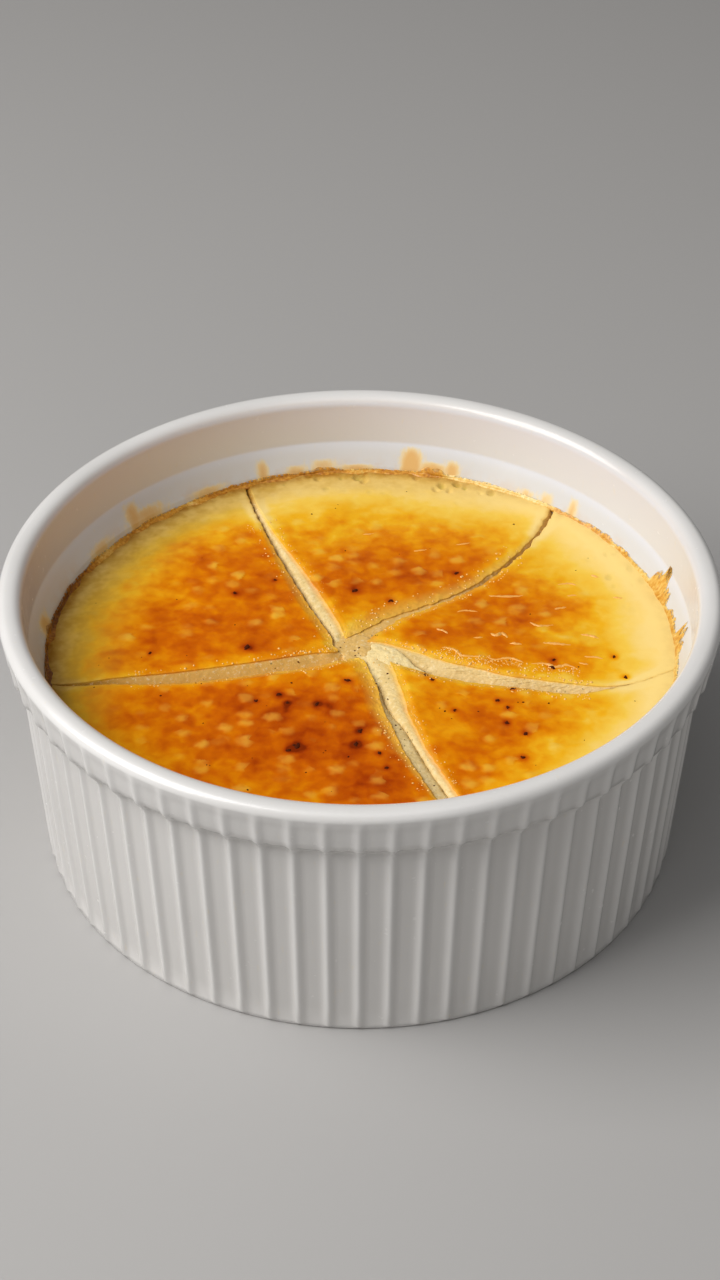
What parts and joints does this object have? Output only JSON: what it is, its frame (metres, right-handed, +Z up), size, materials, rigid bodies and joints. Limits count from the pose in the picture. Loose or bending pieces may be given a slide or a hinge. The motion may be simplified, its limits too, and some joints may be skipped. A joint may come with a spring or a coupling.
{
  "type": "creme brulee",
  "caption": "Baked vanilla custard with a scorched sugar top, cut into wedges, in the round white fluted ramekin it was baked in.",
  "frame": {"origin": "middle of the underside, on the plane of the foot ring", "axes": "+Z up out of the dish; -Y towards the diner, where one ridge of the fluted wall points; +X to the diner's right"},
  "size_m": [0.102, 0.102, 0.0426],
  "materials": {
    "porcelain": "glazed white porcelain",
    "custard": "scorched sugar over baked custard"
  },
  "bodies": {
    "root": {"ramekin": "porcelain", "custard_wedge_back": "custard", "custard_wedge_right": "custard", "custard_wedge_front_right": "custard", "custard_wedge_front_left": "custard", "custard_wedge_left": "custard"}
  },
  "joints": []
}
